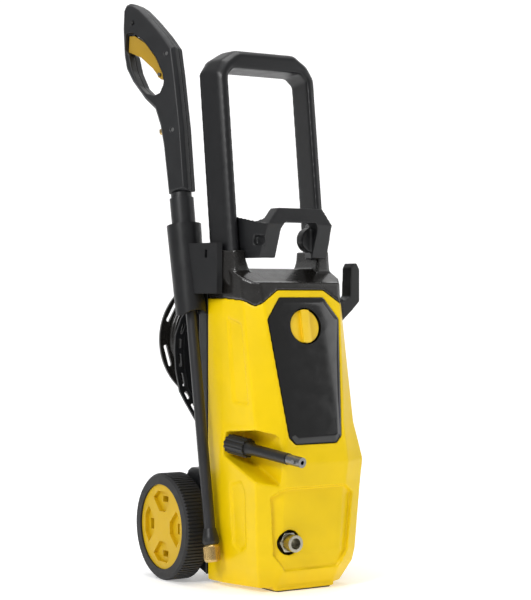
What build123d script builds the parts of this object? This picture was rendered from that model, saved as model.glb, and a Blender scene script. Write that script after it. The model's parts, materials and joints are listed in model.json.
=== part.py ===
"""Upright electric pressure washer with its gun, lance, spare nozzle and hose reel.

Millimetres, +Z up, the machine faces -Y, X = 0 is its middle plane and Z = 0 the floor.
"""
import os
from math import atan, atan2, cos, degrees, hypot, radians, sin, tan

from build123d import *

os.makedirs("parts", exist_ok=True)

# ---------------------------------------------------------------- driving dimensions
WALL = 3.0                 # moulded wall thickness
GAP = 0.3                  # clearance between moving pieces
SEAM_Y = 103.0             # plane where the front cover meets the rear pieces
SEAM_HALF = 92.0           # half width of the casing at that plane
FRONT_SLOPE = 0.185        # how far the front leans back for each mm of height
FRONT_TOP_Z = 445.0        # height of the front cover's top edge
FRONT_TOP_Y = -15.0        # front of the casing at that height
CREASE_Z = 246.0           # height of the crease above the lower bulge
CASING_TOP_Z = 480.0
FLOOR_PAN_Z = 6.0          # underside of the front cover
FOOT_PAD = 1.5             # rubber pad under the front foot
CHASSIS_TOP_Z = 173.0
REAR_DEPTH = 85.0          # depth of the rear cover behind the seam
REAR_STRAIGHT = 25.0       # depth of its straight part
REAR_HALF = 55.0           # half width of its back wall
MOTOR_Y = 33.0             # the upright motor and pump stand at X = 0 on this line

WHEEL_R = 82.0
WHEEL_WIDTH = 41.0
WHEEL_INNER_X = 96.0
AXLE_Y = 168.0
AXLE_Z = WHEEL_R
AXLE_R = 8.0
RUNNING = 0.05             # radial play of a shaft in its bore

HANDLE_LEAN = 6.9          # degrees that the push handle leans back
HANDLE_FOOT_Z = 470.0
HANDLE_TOP_Z = 815.0
HANDLE_HALF = 97.0         # half width over the legs
HANDLE_INNER = 71.7        # half width between the legs
HANDLE_DEPTH = 48.0
HANDLE_FRONT_Y = 37.4      # front of the legs at their foot

LANCE_X = -112.0
LANCE_FOOT = (LANCE_X, 54.0, 40.0)
LANCE_LEAN = 9.65          # degrees that the stored lance leans back
GUN_TURN = 25.0            # degrees that the stored grip is turned outward
GUN_THICKNESS = 30.0
TUBE_R = 8.5

KNOB_Z = 391.0
KNOB_R = 25.0
KNOB_DEPTH = 14.0
OUTLET_X = -40.0
OUTLET_Z = 75.0

REEL_Z = 367.5             # the hose reel turns about a line along Y at X = 0
REEL_FLANGE_R = 101.0
REEL_BARREL_R = 50.0
REEL_LOW_Y = 194.5         # inner face of the drum's front flange
REEL_HIGH_Y = 238.0        # back of its rear flange
SPINDLE_R = 10.0
COIL_R = 88.0              # outside of the wound hose


def save(builder, name):
    """Label a finished piece and write its STEP."""
    builder.part.label = name
    export_step(builder.part, f"parts/{name}.step")


def front_y(z):
    """Front of the upper casing at a height."""
    return FRONT_TOP_Y - (FRONT_TOP_Z - z) * FRONT_SLOPE


# ---------------------------------------------------------------- the casing's outer form
def station_points(front, front_half, corner_x, corner_y, side_x, rear):
    """Outline of the casing at one height, front to rear and back."""
    right = [(front_half, front), (corner_x, corner_y), (side_x, 60), (SEAM_HALF, rear)]
    left = [(-x, y) for x, y in reversed(right)]
    return left + right


# height, front face Y, its half width, corner X and Y, half width at the side
STATIONS = [
    (FLOOR_PAN_Z, -24, 50, 72, -12, 90),
    (38, -46, 50, 85, -28, 93),
    (57, -50, 52, 88, -31, 94),
    (160, -55, 54, 94, -37, 95),
    (191, -61, 54, 96, -40, 96),
    (215, front_y(215), 53, 93, -34, 95),
    (CREASE_Z, front_y(CREASE_Z), 52, 88, -27, 92),
    (CASING_TOP_Z, front_y(CASING_TOP_Z), 74, 88, 17, 92),
]


def inset_points(points, distance):
    """Move each side of a closed outline inward and return its new corners."""
    lines = []
    for here, there in zip(points, points[1:] + points[:1]):
        along = (Vector(*there) - Vector(*here)).normalized()
        inward = Vector(along.Y, -along.X) * -1
        lines.append((Vector(*here) + inward * distance, along))
    corners = []
    for (a, u), (b, v) in zip(lines[-1:] + lines[:-1], lines):
        t = ((b - a).X * v.Y - (b - a).Y * v.X) / (u.X * v.Y - u.Y * v.X)
        corners.append((a.X + u.X * t, a.Y + u.Y * t))
    return corners


def envelope(inset=0.0, rear=SEAM_Y, floor=0.0):
    """The casing's outer form, moved inward by an amount, up to a rear plane."""
    with BuildPart() as block:
        for z, front, front_half, corner_x, corner_y, side_x in STATIONS:
            points = station_points(front, front_half, corner_x, corner_y, side_x, rear)
            if inset:
                points = inset_points(points, inset)
            height = z + floor if z == FLOOR_PAN_Z else z
            with BuildSketch(Plane.XY.offset(height)):
                Polygon(*points, align=None)
        loft(ruled=True)
    return block.part


def slab(points, plane, amount):
    """A polygon drawn on a plane and made solid."""
    with BuildPart() as block:
        with BuildSketch(plane):
            Polygon(*points, align=None)
        extrude(amount=amount)
    return block.part


def mirrored(points):
    """Complete a right-hand outline, bottom to top, with its left-hand mirror image."""
    return points + [(-x, y) for x, y in reversed(points)]


OPEN_REAR = SEAM_Y + 20
casing_outer = envelope()
casing_inner = envelope(WALL, OPEN_REAR, WALL)
casing_3 = envelope(3.0, OPEN_REAR)
casing_6 = envelope(6.0, OPEN_REAR)
casing_9 = envelope(9.0, OPEN_REAR)

# Everything above the seam between front cover and top cover, seen from the front.
above_outline = mirrored([(130, 560), (130, 436), (SEAM_HALF, 434), (76, 421), (41, FRONT_TOP_Z)])
above_seam = slab(above_outline, Plane.XZ.offset(-150), 300)

# ---------------------------------------------------------------- front cover
PANEL_BOTTOM_Z = 219.0
lean_back = atan(FRONT_SLOPE)
panel_plane = Plane(origin=(0, front_y(PANEL_BOTTOM_Z), PANEL_BOTTOM_Z), x_dir=(1, 0, 0),
                    z_dir=(0, -cos(lean_back), sin(lean_back)))


def up_panel(z):
    """Distance up the sloping front from the panel's bottom edge to a height."""
    return (z - PANEL_BOTTOM_Z) / cos(lean_back)


panel_outline = mirrored([(36, 0), (46, up_panel(229)), (63, up_panel(402)), (39, up_panel(434))])
octagon = mirrored([(46, 33), (65, 57), (72, 143), (53, 155)])
side_recess = [(52, 410), (8, 398), (-12, 272), (34, 275)]
bulge_groove = [(38, 160), (2, 168), (-10, 150), (-8, 66), (10, 56), (32, 66)]
pocket = [(56, 198), (52, 236), (-28, 243), (-46, 236), (-96, 190), (-96, 132), (-60, 153)]
POCKET_FLOOR_X = -60.0
OUTLET_HOLE_R = 18.0
INLET_Z = 62.0
INLET_Y = 45.0
GLAND_Y = 82.0
GLAND_Z = 330.0
GLAND_R = 9.0

octagon_slab = slab(octagon, Plane.XZ.offset(20), 80)
octagon_pad = slab([(x * 1.08, 94 + (z - 94) * 1.08) for x, z in octagon], Plane.XZ.offset(20), 80)
pocket_block = slab(pocket, Plane.YZ.offset(POCKET_FLOOR_X + WALL), -60)
pocket_space = slab(inset_points(pocket, WALL), Plane.YZ.offset(POCKET_FLOOR_X), -60)

with BuildPart() as front_cover:
    add(casing_outer)
    add(casing_inner, mode=Mode.SUBTRACT)
    # thicker walls behind the recesses, and the walls of the spare nozzle's pocket
    add((octagon_pad & casing_outer) - casing_9)
    for side in (-1, 1):
        for outline in (side_recess, bulge_groove):
            band = slab(outline, Plane.YZ.offset(60 * side), 50 * side)
            add((band & casing_outer) - casing_6)
    add(pocket_block & casing_outer)
    # the front foot, on its rubber pad
    with BuildSketch(Plane.XY.offset(FOOT_PAD)):
        with Locations((0, 5)):
            Rectangle(104, 64)
    extrude(amount=FLOOR_PAN_Z + 1 - FOOT_PAD)
    # the recesses themselves
    add(octagon_slab - casing_6, mode=Mode.SUBTRACT)
    for side in (-1, 1):
        for outline in (side_recess, bulge_groove):
            band = slab(inset_points(outline, 4), Plane.YZ.offset(60 * side), 50 * side)
            add(band - casing_3, mode=Mode.SUBTRACT)
    add(pocket_space, mode=Mode.SUBTRACT)
    # openings for the panel, the outlet, the inlet and everything above the seam
    with BuildSketch(panel_plane.offset(-12)):
        Polygon(*panel_outline, align=None)
    extrude(amount=24, mode=Mode.SUBTRACT)
    with BuildSketch(Plane.XZ.offset(20)):
        with Locations((OUTLET_X, OUTLET_Z)):
            Circle(OUTLET_HOLE_R)
    extrude(amount=60, mode=Mode.SUBTRACT)
    with BuildSketch(Plane.YZ.offset(80)):
        with Locations((INLET_Y, INLET_Z)):
            Circle(17)
        with Locations((GLAND_Y, GLAND_Z)):
            Circle(GLAND_R)
    extrude(amount=40, mode=Mode.SUBTRACT)
    add(above_seam, mode=Mode.SUBTRACT)
save(front_cover, "front_cover")

# ---------------------------------------------------------------- control panel and switch
KNOB_HOLE_R = KNOB_R + 2.5
PANEL_BACK = -5.0
with BuildPart() as control_panel:
    with BuildSketch(panel_plane.offset(PANEL_BACK)) as panel_sketch:
        Polygon(*panel_outline, align=None)
        offset(amount=-GAP, kind=Kind.INTERSECTION, mode=Mode.REPLACE)
        fillet(panel_sketch.vertices().sort_by(Axis.Z)[:4], 8)
    extrude(amount=-PANEL_BACK)
    with BuildSketch(panel_plane):
        Polygon(*inset_points(panel_outline, 2), align=None)
    with BuildSketch(panel_plane.offset(3)):
        Polygon(*inset_points(panel_outline, 9), align=None)
    loft(ruled=True)
    with Locations(panel_plane):
        with Locations((0, up_panel(KNOB_Z), 3)):
            Hole(KNOB_HOLE_R)
save(control_panel, "control_panel")

KNOB_BACK = -9.0
with BuildPart() as switch_body:
    with BuildSketch(panel_plane.offset(PANEL_BACK - 32)):
        with Locations((0, up_panel(KNOB_Z))):
            RectangleRounded(58, 58, 6)
    extrude(amount=32)
    with BuildSketch(panel_plane.offset(KNOB_BACK)):
        with Locations((0, up_panel(KNOB_Z))):
            Circle(KNOB_HOLE_R)
    extrude(amount=10, mode=Mode.SUBTRACT)
    with BuildSketch(panel_plane.offset(KNOB_BACK - 14)):
        with Locations((0, up_panel(KNOB_Z))):
            Circle(4 + RUNNING)
    extrude(amount=16, mode=Mode.SUBTRACT)
save(switch_body, "switch_body")

with BuildPart() as switch_knob:
    with BuildSketch(panel_plane.offset(KNOB_BACK + GAP)):
        with Locations((0, up_panel(KNOB_Z))):
            Circle(KNOB_R)
    extrude(amount=KNOB_DEPTH)
    chamfer(switch_knob.edges().filter_by(GeomType.CIRCLE).sort_by(Axis.Y)[:1], 1.5)
    # two scoops leave a finger bar across the face
    with BuildSketch(panel_plane.offset(KNOB_BACK + KNOB_DEPTH - 5)):
        with Locations((0, up_panel(KNOB_Z))):
            with Locations((-16, 0), (16, 0)):
                Rectangle(18, 60)
    extrude(amount=10, mode=Mode.SUBTRACT)
    with BuildSketch(panel_plane.offset(KNOB_BACK - 13)):
        with Locations((0, up_panel(KNOB_Z))):
            Circle(4)
    extrude(amount=14)
save(switch_knob, "switch_knob")

# ---------------------------------------------------------------- top cover
CROWN_FRONT_Z = 456.0
LEG_SOCKET_Z = 505.0
SHOULDER_FOOT = [(46, 22), (84, 22), (91, 42), (91, 100), (46, 100)]
SHOULDER_NECK = [(66, 36), (85, 36), (101, 66), (101, 97), (66, 97)]
# height, share of the way from the foot's outline to the neck's
SHOULDER_FLARE = [(452, 0), (462, 0.42), (475, 0.72), (490, 0.92), (LEG_SOCKET_Z, 1)]
top_profile = [(-60, 400), (-60, CROWN_FRONT_Z), (-2, CROWN_FRONT_Z + 1), (45, 478), (SEAM_Y, 478),
               (SEAM_Y, 400)]
under_profile = [(-60, 390), (-60, CROWN_FRONT_Z - WALL), (-1, CROWN_FRONT_Z + 1 - WALL),
                 (45, 478 - WALL), (OPEN_REAR, 478 - WALL), (OPEN_REAR, 390)]
top_region = slab(top_profile, Plane.YZ.offset(-110), 220)
under_region = slab(under_profile, Plane.YZ.offset(-110), 220)

# The push handle leans back; its own plane holds its outline.
lean = radians(HANDLE_LEAN)
handle_plane = Plane(origin=(0, HANDLE_FRONT_Y, HANDLE_FOOT_Z), x_dir=(1, 0, 0),
                     z_dir=(0, -cos(lean), sin(lean)))


def up_handle(z):
    """Distance along the leaning handle from its foot to a height."""
    return (z - HANDLE_FOOT_Z) / cos(lean)


def handle_outline(narrow=0.0, lower=0.0):
    """The U of the handle; the front face is narrower and lower than the back."""
    outer = [(HANDLE_HALF - narrow, 0),
             (HANDLE_HALF - narrow, up_handle(780) - lower),
             (84 - narrow * 0.8, up_handle(799) - lower),
             (57 - narrow * 0.4, up_handle(HANDLE_TOP_Z) - lower)]
    inner = [(60, up_handle(783)), (HANDLE_INNER, up_handle(771)), (HANDLE_INNER, 0)]
    return outer, inner


def handle_points(narrow=0.0, lower=0.0):
    """Closed outline of the U, starting at the right leg's foot."""
    outer, inner = handle_outline(narrow, lower)
    left_outer = [(-x, y) for x, y in reversed(outer)]
    left_inner = [(-x, y) for x, y in reversed(inner)]
    return outer + left_outer + left_inner + inner


with BuildPart() as push_handle:
    with BuildSketch(handle_plane):
        Polygon(*handle_points(15, 10), align=None)
    with BuildSketch(handle_plane.offset(-8)):
        Polygon(*handle_points(9, 3), align=None)
    with BuildSketch(handle_plane.offset(-36)):
        Polygon(*handle_points(1), align=None)
    with BuildSketch(handle_plane.offset(-HANDLE_DEPTH)):
        Polygon(*handle_points(), align=None)
    loft(ruled=True)
save(push_handle, "push_handle")

with BuildPart() as top_cover:
    add((casing_outer & above_seam) & top_region)
    add(casing_3 & under_region, mode=Mode.SUBTRACT)
    for side in (-1, 1):
        with BuildPart(mode=Mode.PRIVATE) as shoulder:
            for z, share in SHOULDER_FLARE:
                points = [(side * (x1 + (x2 - x1) * share), y1 + (y2 - y1) * share)
                          for (x1, y1), (x2, y2) in zip(SHOULDER_FOOT, SHOULDER_NECK)]
                with BuildSketch(Plane.XY.offset(z)):
                    Polygon(*points, align=None)
            loft(ruled=True)
        add(shoulder.part)
    add(push_handle.part, mode=Mode.SUBTRACT)
save(top_cover, "top_cover")

# ---------------------------------------------------------------- carry handle
CARRY_LOW_Z = 493.0
CARRY_TOP_Z = 567.0
CARRY_ARM_Z = 543.0        # top of the arms where they meet the front bar
CARRY_FRONT_Y = -15.0
carry_plan = mirrored([(71, 62), (57, CARRY_FRONT_Y)])
carry_plan_inner = mirrored([(60, 70), (49, CARRY_FRONT_Y + 25)])
carry_front = mirrored([(80, CARRY_LOW_Z), (80, 564), (71, 558), (57, CARRY_ARM_Z), (39, CARRY_TOP_Z)])
carry_window = mirrored([(33, CARRY_LOW_Z - 5), (33, 536), (27, 546)])
with BuildPart() as carry_handle:
    with BuildSketch(Plane.XY.offset(CARRY_LOW_Z)):
        Polygon(*carry_plan, align=None)
        Polygon(*carry_plan_inner, align=None, mode=Mode.SUBTRACT)
    extrude(amount=CARRY_TOP_Z - CARRY_LOW_Z)
    with BuildSketch(Plane.XZ.offset(-100)):
        Polygon(*carry_front, align=None)
    extrude(amount=200, mode=Mode.INTERSECT)
    with BuildSketch(Plane.XZ.offset(-18)):
        Polygon(*carry_window, align=None)
    extrude(amount=60, mode=Mode.SUBTRACT)
    # the lower front of each arm slopes back
    with BuildSketch(Plane.YZ.offset(-90)):
        Polygon((-60, 488), (6, 488), (CARRY_FRONT_Y, CARRY_ARM_Z), (-60, CARRY_ARM_Z), align=None)
    extrude(amount=180, mode=Mode.SUBTRACT)
    # a blind slot in the left arm, and a round boss that a neck ties to the right arm
    with BuildSketch(Plane.YZ.offset(-90)):
        with Locations((6, 519)):
            RectangleRounded(24, 13, 3)
    extrude(amount=34, mode=Mode.SUBTRACT)
    with BuildSketch(Plane.XZ.offset(-24)):
        with Locations((36, 521)):
            Circle(19)
        with Locations((52, 521)):
            Rectangle(18, 30)
    extrude(amount=18)
    add(push_handle.part, mode=Mode.SUBTRACT)
    add(top_cover.part, mode=Mode.SUBTRACT)
save(carry_handle, "carry_handle")

# ---------------------------------------------------------------- rear cover
REAR_LOW_Z = CHASSIS_TOP_Z + 1
REAR_Y = SEAM_Y + REAR_DEPTH
CASE_SCREWS_AT = [(-36, 200), (36, 200), (-36, 420), (36, 420)]
CASE_SCREW_R = 2.2
REEL_SCREW_R = 3.0
REEL_SCREW_LENGTH = 20.0


def rear_outline(inset, half, low, high, corner):
    """Back cover outline at one depth."""
    return mirrored([(half - inset, low + inset),
                     (half - inset, high - corner),
                     (half - corner - inset, high - inset)])


def rear_form(inset):
    """The rear cover's outer form, moved inward by an amount."""
    wide = rear_outline(inset, SEAM_HALF, REAR_LOW_Z, 478, 30)
    with BuildPart() as block:
        with BuildSketch(Plane.XZ.offset(-SEAM_Y)):
            Polygon(*wide, align=None)
        extrude(amount=-REAR_STRAIGHT)
        with BuildSketch(Plane.XZ.offset(-SEAM_Y - REAR_STRAIGHT)):
            Polygon(*wide, align=None)
        with BuildSketch(Plane.XZ.offset(inset - REAR_Y)):
            Polygon(*rear_outline(inset, REAR_HALF, REAR_LOW_Z + 6, 452, 16), align=None)
        loft(ruled=True)
    return block.part


with BuildPart() as rear_cover:
    add(rear_form(0))
    add(rear_form(WALL), mode=Mode.SUBTRACT)
    # cooling slots and screw holes in the back wall
    with BuildSketch(Plane.XZ.offset(-REAR_Y - 5)):
        with GridLocations(0, 11, 1, 7):
            with Locations((0, 240)):
                SlotOverall(60, 4)
        with Locations(*CASE_SCREWS_AT):
            Circle(CASE_SCREW_R)
    extrude(amount=12, mode=Mode.SUBTRACT)
save(rear_cover, "rear_cover")

with BuildPart() as case_screws:
    for x, z in CASE_SCREWS_AT:
        with BuildSketch(Plane.XZ.offset(-REAR_Y)):
            with Locations((x, z)):
                Circle(4)
        extrude(amount=-3)
        with BuildSketch(Plane.XZ.offset(-REAR_Y)):
            with Locations((x, z)):
                Circle(CASE_SCREW_R)
        extrude(amount=12)
    # the longer one that holds the reel on its spindle
    with BuildSketch(Plane.XZ.offset(-REEL_HIGH_Y - GAP)):
        with Locations((0, REEL_Z)):
            Circle(SPINDLE_R + 5)
    extrude(amount=-2)
    with BuildSketch(Plane.XZ.offset(-REEL_HIGH_Y - GAP)):
        with Locations((0, REEL_Z)):
            Circle(REEL_SCREW_R)
    extrude(amount=REEL_SCREW_LENGTH + GAP)
save(case_screws, "case_screws")

# ---------------------------------------------------------------- chassis, axle and wheels
chassis_profile = [(SEAM_Y, 13), (122, 20), (160, 38), (194, 58), (200, 92), (185, 128), (158, 168),
                   (150, CHASSIS_TOP_Z), (SEAM_Y, CHASSIS_TOP_Z)]
CHASSIS_HALF = 94.0
with BuildPart() as chassis:
    with BuildSketch(Plane.YZ.offset(-CHASSIS_HALF)):
        Polygon(*chassis_profile, align=None)
    extrude(amount=2 * CHASSIS_HALF)
    with BuildSketch(Plane.YZ.offset(-CHASSIS_HALF + 4)):
        Polygon((SEAM_Y - 1, 17), (121, 24), (158, 41.5), (190.5, 60.5), (196, 91), (181.5, 126),
                (155.5, 165), (148, 169), (SEAM_Y - 1, 169), align=None)
    extrude(amount=2 * CHASSIS_HALF - 8, mode=Mode.SUBTRACT)
    with BuildSketch(Plane.YZ.offset(-CHASSIS_HALF)):
        with Locations((AXLE_Y, AXLE_Z)):
            Circle(15)
    extrude(amount=2 * CHASSIS_HALF)
    with BuildSketch(Plane.YZ.offset(-CHASSIS_HALF)):
        with Locations((AXLE_Y, AXLE_Z)):
            Circle(AXLE_R)
    extrude(amount=2 * CHASSIS_HALF, mode=Mode.SUBTRACT)
save(chassis, "chassis")

HUB_DEPTH = 34.0
AXLE_END = WHEEL_INNER_X + HUB_DEPTH - 0.5
with BuildPart() as axle:
    with BuildSketch(Plane.YZ.offset(-AXLE_END)):
        with Locations((AXLE_Y, AXLE_Z)):
            Circle(AXLE_R)
    extrude(amount=2 * AXLE_END)
    # a thrust collar inside each wheel
    for x in (-WHEEL_INNER_X + GAP, CHASSIS_HALF + GAP):
        with BuildSketch(Plane.YZ.offset(x)):
            with Locations((AXLE_Y, AXLE_Z)):
                Circle(14)
        extrude(amount=WHEEL_INNER_X - CHASSIS_HALF - 2 * GAP)
save(axle, "axle")

TYRE_INNER_R = 65.0
RIM_FACE = WHEEL_WIDTH - 3
RIM_POCKET_DEPTH = 6.0
TREAD_NOTCHES = 90
pocket_outline = [(23, -9), (43, -28), (54, -14), (54, 14), (43, 28), (23, 9)]
for side, side_name in ((-1, "left"), (1, "right")):
    wheel_plane = Plane(origin=(side * WHEEL_INNER_X, AXLE_Y, AXLE_Z), x_dir=(0, 1, 0), z_dir=(side, 0, 0))
    with BuildPart() as tyre:
        with BuildSketch(wheel_plane):
            Circle(WHEEL_R)
            Circle(TYRE_INNER_R, mode=Mode.SUBTRACT)
        extrude(amount=WHEEL_WIDTH)
        chamfer(tyre.edges().filter_by(GeomType.CIRCLE).sort_by(SortBy.RADIUS)[-2:], 4)
        with BuildSketch(wheel_plane):
            with PolarLocations(WHEEL_R, TREAD_NOTCHES):
                Rectangle(3, 2.6)
        extrude(amount=WHEEL_WIDTH, mode=Mode.SUBTRACT)
    save(tyre, f"tyre_{side_name}")
    with BuildPart() as rim:
        with BuildSketch(wheel_plane.offset(2)):
            Circle(TYRE_INNER_R)
        extrude(amount=RIM_FACE - 2)
        with BuildSketch(wheel_plane.offset(2)):
            Circle(59)
            Circle(18, mode=Mode.SUBTRACT)
        extrude(amount=15, mode=Mode.SUBTRACT)
        with BuildSketch(wheel_plane.offset(RIM_FACE - RIM_POCKET_DEPTH)):
            with PolarLocations(0, 4):
                Polygon(*pocket_outline, align=None)
        extrude(amount=20, mode=Mode.SUBTRACT)
        with BuildSketch(wheel_plane):
            with PolarLocations(42, 4):
                Rectangle(9, 16)
        extrude(amount=WHEEL_WIDTH, mode=Mode.SUBTRACT)
        with BuildSketch(wheel_plane):
            Circle(AXLE_R + RUNNING)
        extrude(amount=HUB_DEPTH, mode=Mode.SUBTRACT)
    save(rim, f"wheel_rim_{side_name}")

# ---------------------------------------------------------------- cable hook
HOOK_Y = 28.0
HOOK_Z = 415.0
with BuildPart() as cable_hook_base:
    with BuildSketch(Plane.YZ.offset(SEAM_HALF - 1.5)):
        with Locations((HOOK_Y, HOOK_Z)):
            RectangleRounded(34, 34, 8)
    extrude(amount=7)
    add(casing_outer, mode=Mode.SUBTRACT)
    with BuildSketch(Plane.YZ.offset(SEAM_HALF - 6)):
        with Locations((HOOK_Y, HOOK_Z)):
            Circle(7 + RUNNING)
    extrude(amount=20, mode=Mode.SUBTRACT)
save(cable_hook_base, "cable_hook_base")

hook_front = [(98, 398), (114, 412), (130, 428), (130, 478), (125, 487), (118, 487), (114, 480), (112, 436),
              (104, 430), (98, 430)]
with BuildPart() as cable_hook:
    with BuildSketch(Plane.XZ.offset(-HOOK_Y - 12)):
        Polygon(*hook_front, align=None)
    extrude(amount=24)
    with BuildSketch(Plane.YZ.offset(SEAM_HALF + 0.5)):
        with Locations((HOOK_Y, HOOK_Z)):
            Circle(7)
    extrude(amount=7)
save(cable_hook, "cable_hook")

# ---------------------------------------------------------------- outlet, inlet and pump
OUTLET_R = 12.5
OUTLET_BORE_R = 8.0
OUTLET_REACH = 62.0
INLET_R = 13.2             # G3/4 male thread
INLET_ROOT_X = 42.0
INLET_END_X = 118.0
outlet_plane = Plane(origin=(OUTLET_X, 0, OUTLET_Z), x_dir=(1, 0, 0), z_dir=(0, -1, 0))
with BuildPart() as outlet_fitting:
    with BuildSketch(outlet_plane):
        Circle(OUTLET_R)
    extrude(amount=OUTLET_REACH)
    with BuildSketch(outlet_plane.offset(OUTLET_REACH - 30)):
        RegularPolygon(16, 6)
    extrude(amount=12)
    with BuildSketch(outlet_plane.offset(OUTLET_REACH - 16)):
        Circle(OUTLET_BORE_R)
    extrude(amount=16, mode=Mode.SUBTRACT)
    with BuildSketch(outlet_plane):
        Circle(3)
    extrude(amount=OUTLET_REACH, mode=Mode.SUBTRACT)
save(outlet_fitting, "outlet_fitting")

with BuildPart() as inlet_fitting:
    with BuildSketch(Plane.YZ.offset(INLET_ROOT_X)):
        with Locations((INLET_Y, INLET_Z)):
            Circle(10)
    extrude(amount=INLET_END_X - INLET_ROOT_X)
    with BuildSketch(Plane.YZ.offset(INLET_END_X - 18)):
        with Locations((INLET_Y, INLET_Z)):
            Circle(INLET_R)
    extrude(amount=18)
    with BuildSketch(Plane.YZ.offset(INLET_END_X - 26)):
        with Locations((INLET_Y, INLET_Z)):
            RegularPolygon(16.5, 6)
    extrude(amount=8)
    with BuildSketch(Plane.YZ.offset(INLET_ROOT_X)):
        with Locations((INLET_Y, INLET_Z)):
            Circle(5.5)
    extrude(amount=INLET_END_X - INLET_ROOT_X, mode=Mode.SUBTRACT)
save(inlet_fitting, "inlet_fitting")

PUMP_LOW_Z = 34.0
PUMP_HIGH_Z = 96.0
PISTON_R = 7.0
PISTON_RING_R = 22.0
with BuildPart() as pump_cradle:
    with BuildSketch(Plane.XY.offset(FLOOR_PAN_Z + WALL)):
        with Locations((0, MOTOR_Y)):
            RectangleRounded(84, 76, 6)
            RectangleRounded(70, 62, 4, mode=Mode.SUBTRACT)
    extrude(amount=PUMP_LOW_Z - FLOOR_PAN_Z - WALL)
save(pump_cradle, "pump_cradle")

with BuildPart() as pump_head:
    with BuildSketch(Plane.XY.offset(PUMP_LOW_Z)):
        with Locations((0, MOTOR_Y)):
            RectangleRounded(84, 76, 10)
    extrude(amount=PUMP_HIGH_Z - PUMP_LOW_Z)
    with BuildSketch(Plane.XZ.offset(-MOTOR_Y + 10)):
        with Locations((OUTLET_X, OUTLET_Z)):
            Circle(16)
    extrude(amount=MOTOR_Y - 12)
    with BuildSketch(Plane.XY.offset(PUMP_HIGH_Z - 46)):
        with Locations((0, MOTOR_Y)):
            with PolarLocations(PISTON_RING_R, 3, start_angle=90):
                Circle(PISTON_R + RUNNING)
    extrude(amount=50, mode=Mode.SUBTRACT)
    add(outlet_fitting.part, mode=Mode.SUBTRACT)
save(pump_head, "pump_head")

PISTON_TOP_Z = 118.0
for index, place in enumerate(PolarLocations(PISTON_RING_R, 3, start_angle=90), 1):
    piston_x = place.position.X
    piston_y = MOTOR_Y + place.position.Y
    with BuildPart() as piston:
        with BuildSketch(Plane.XY.offset(PUMP_HIGH_Z - 36)):
            with Locations((piston_x, piston_y)):
                Circle(PISTON_R)
        extrude(amount=PISTON_TOP_Z - PUMP_HIGH_Z + 36)
        with BuildSketch(Plane.XY.offset(PISTON_TOP_Z - 3)):
            with Locations((piston_x, piston_y)):
                Circle(PISTON_R + 4)
        extrude(amount=3)
    save(piston, f"piston_{index}")
    with BuildPart() as piston_spring:
        with BuildSketch(Plane.XY.offset(PUMP_HIGH_Z + 0.2)):
            with Locations((piston_x, piston_y)):
                Circle(PISTON_R + 3.5)
                Circle(PISTON_R + 0.5, mode=Mode.SUBTRACT)
        extrude(amount=PISTON_TOP_Z - PUMP_HIGH_Z - 3.5)
    save(piston_spring, f"piston_spring_{index}")

GEARBOX_TOP_Z = 150.0
MOTOR_R = 56.0
BEARING_R = 16.0
PLATE_THICKNESS = 8.0      # end plates of the motor
with BuildPart() as gearbox_housing:
    with BuildSketch(Plane.XY.offset(PUMP_HIGH_Z)):
        with Locations((0, MOTOR_Y)):
            Circle(46)
            Circle(41, mode=Mode.SUBTRACT)
    extrude(amount=GEARBOX_TOP_Z - PUMP_HIGH_Z)
    # its lid is the motor's lower end plate
    with BuildSketch(Plane.XY.offset(GEARBOX_TOP_Z)):
        with Locations((0, MOTOR_Y)):
            Circle(MOTOR_R)
            Circle(BEARING_R, mode=Mode.SUBTRACT)
    extrude(amount=PLATE_THICKNESS)
save(gearbox_housing, "gearbox_housing")

# ---------------------------------------------------------------- motor
SHAFT_R = 7.0
MOTOR_TOP_Z = 300.0
wobble_tilt = 7.0
PLATE_R = 34.0
PLATE_LOW_Z = PISTON_TOP_Z + 0.6
with BuildPart() as wobble_plate:
    with BuildSketch(Plane.XY.offset(PLATE_LOW_Z)):
        with Locations((0, MOTOR_Y)):
            Circle(PLATE_R)
    extrude(amount=18)
    tilt_plane = Plane(origin=(0, MOTOR_Y, PLATE_LOW_Z + PLATE_R * tan(radians(wobble_tilt))),
                       z_dir=(0, sin(radians(wobble_tilt)), cos(radians(wobble_tilt))))
    split(bisect_by=tilt_plane, keep=Keep.TOP)
    with BuildSketch(Plane.XY.offset(PLATE_LOW_Z)):
        with Locations((0, MOTOR_Y)):
            Circle(SHAFT_R)
    extrude(amount=20, mode=Mode.SUBTRACT)
save(wobble_plate, "wobble_plate")


def motor_ring(name, rings):
    """Rings about the motor's upright axis, each (low, high, outer radius, inner radius)."""
    with BuildPart() as turned:
        for low, high, outer, inner in rings:
            with BuildSketch(Plane.XY.offset(low)):
                with Locations((0, MOTOR_Y)):
                    Circle(outer)
                    if inner:
                        Circle(inner, mode=Mode.SUBTRACT)
            extrude(amount=high - low)
    save(turned, name)


lower_end = (GEARBOX_TOP_Z, GEARBOX_TOP_Z + PLATE_THICKNESS)
upper_end = (MOTOR_TOP_Z - PLATE_THICKNESS, MOTOR_TOP_Z)
motor_ring("motor_shaft", [(PLATE_LOW_Z + 6, MOTOR_TOP_Z + 28, SHAFT_R, 0)])
motor_ring("motor_housing", [(lower_end[1], upper_end[0], MOTOR_R, MOTOR_R - 5),
                             (*upper_end, MOTOR_R, BEARING_R)])
motor_ring("stator_winding", [(176, 274, MOTOR_R - 5, 33)])
motor_ring("rotor_core", [(172, 278, 32.5, SHAFT_R)])
motor_ring("motor_bearings", [(*end, BEARING_R, SHAFT_R + RUNNING) for end in (lower_end, upper_end)])

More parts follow.
